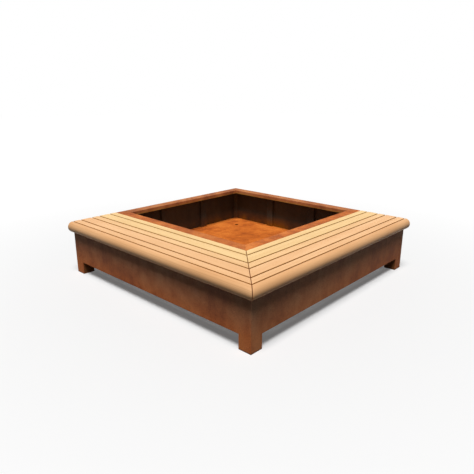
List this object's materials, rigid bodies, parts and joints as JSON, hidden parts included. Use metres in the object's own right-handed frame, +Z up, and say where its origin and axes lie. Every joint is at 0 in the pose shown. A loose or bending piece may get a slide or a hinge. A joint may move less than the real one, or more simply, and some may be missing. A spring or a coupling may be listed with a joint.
{
  "type": "corner bench with planter",
  "caption": "Square rusted-steel planter on box feet with a mitred timber slat seat and half-round nosing along two neighbouring sides.",
  "frame": {"origin": "on the ground, at the centre of the overall outline including the nosings", "axes": "+Z up; the seat runs lie along -Y (front) and +X (right), the planter towards -X and +Y"},
  "size_m": [2.05, 2.05, 0.45],
  "materials": {
    "weathering_steel": "matt, mottled rust on weathering steel sheet",
    "seat_timber": "planed, oiled pale hardwood",
    "screw_steel": "plain stainless"
  },
  "bodies": {
    "root": {"back_panel": "weathering_steel", "back_rib_1": "weathering_steel", "back_rib_2": "weathering_steel", "corner_strip_far": "weathering_steel", "corner_strip_left": "weathering_steel", "corner_strip_near": "weathering_steel", "corner_strip_right": "weathering_steel", "floor_channel_1": "weathering_steel", "floor_channel_2": "weathering_steel", "floor_channel_3": "weathering_steel", "floor_plate": "weathering_steel", "foot_box_far": "weathering_steel", "foot_box_left": "weathering_steel", "foot_box_near": "weathering_steel", "foot_box_right": "weathering_steel", "foot_plate_far": "weathering_steel", "foot_plate_left": "weathering_steel", "foot_plate_near": "weathering_steel", "foot_plate_right": "weathering_steel", "front_bearer_1": "weathering_steel", "front_bearer_2": "weathering_steel", "front_bearer_3": "weathering_steel", "front_nosing": "seat_timber", "front_panel": "weathering_steel", "front_slat_1": "seat_timber", "front_slat_2": "seat_timber", "front_slat_3": "seat_timber", "front_slat_4": "seat_timber", "front_slat_5": "seat_timber", "inner_front_rib_1": "weathering_steel", "inner_front_rib_2": "weathering_steel", "inner_front_wall": "weathering_steel", "inner_right_rib_1": "weathering_steel", "inner_right_rib_2": "weathering_steel", "inner_right_wall": "weathering_steel", "left_panel": "weathering_steel", "left_rib_1": "weathering_steel", "left_rib_2": "weathering_steel", "mitre_bearer": "weathering_steel", "nosing_screws": "screw_steel", "right_bearer_1": "weathering_steel", "right_bearer_2": "weathering_steel", "right_bearer_3": "weathering_steel", "right_nosing": "seat_timber", "right_panel": "weathering_steel", "right_slat_1": "seat_timber", "right_slat_2": "seat_timber", "right_slat_3": "seat_timber", "right_slat_4": "seat_timber", "right_slat_5": "seat_timber", "slat_screws": "screw_steel"}
  },
  "joints": []
}
